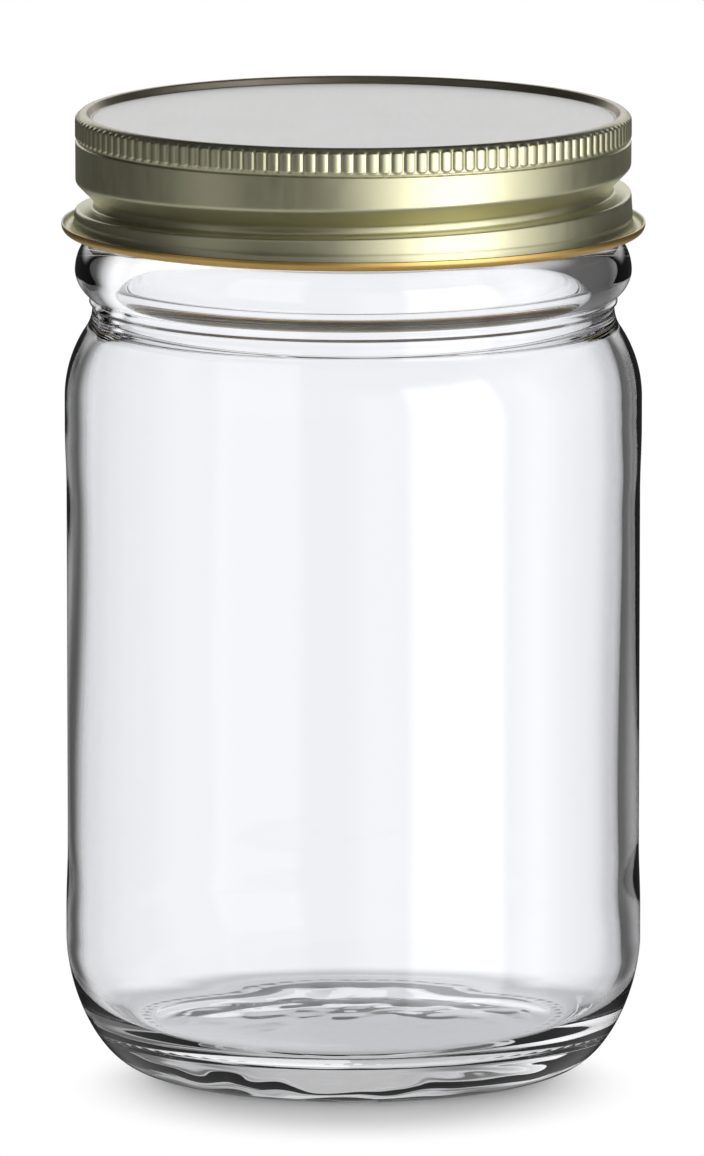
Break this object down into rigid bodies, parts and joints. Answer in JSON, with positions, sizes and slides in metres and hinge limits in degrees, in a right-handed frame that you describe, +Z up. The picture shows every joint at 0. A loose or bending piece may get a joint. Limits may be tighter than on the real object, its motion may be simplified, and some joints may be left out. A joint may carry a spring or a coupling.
{
  "type": "jelly jar",
  "caption": "Clear round glass jar with a wide threaded mouth, a knurled one-piece metal screw lid and the sealing ring inside it.",
  "frame": {"origin": "centre of the base, on the surface that the jar stands on", "axes": "+Z up along the axis of the jar and the lid, -Y towards the viewer of the picture, +X to the right"},
  "size_m": [0.0742, 0.0742, 0.1225],
  "materials": {
    "clear_glass": "polished, pressed and blown",
    "lacquered_tinplate": "pale gold lacquer on tinplate, satin, with a light grey panel",
    "sealing_compound": "matte"
  },
  "bodies": {
    "jar": {"glass_jar": "clear_glass"},
    "ring": {"sealing_ring": "sealing_compound"},
    "lid": {"lid_shell": "lacquered_tinplate"}
  },
  "joints": [
    {"name": "lid_lift", "type": "slide", "parent": "jar", "child": "ring", "axis": [0, 0, 1], "range_m": [0, 0.0155]},
    {"name": "lid_turn", "type": "hinge", "parent": "ring", "child": "lid", "pos_m": [0, 0, 0.1072], "axis": [0, 0, 1], "range_deg": [0, 1260]}
  ],
  "couplings": [
    {"joint": "lid_lift", "follows": "lid_turn", "m_per_rad": 0.0006737}
  ]
}
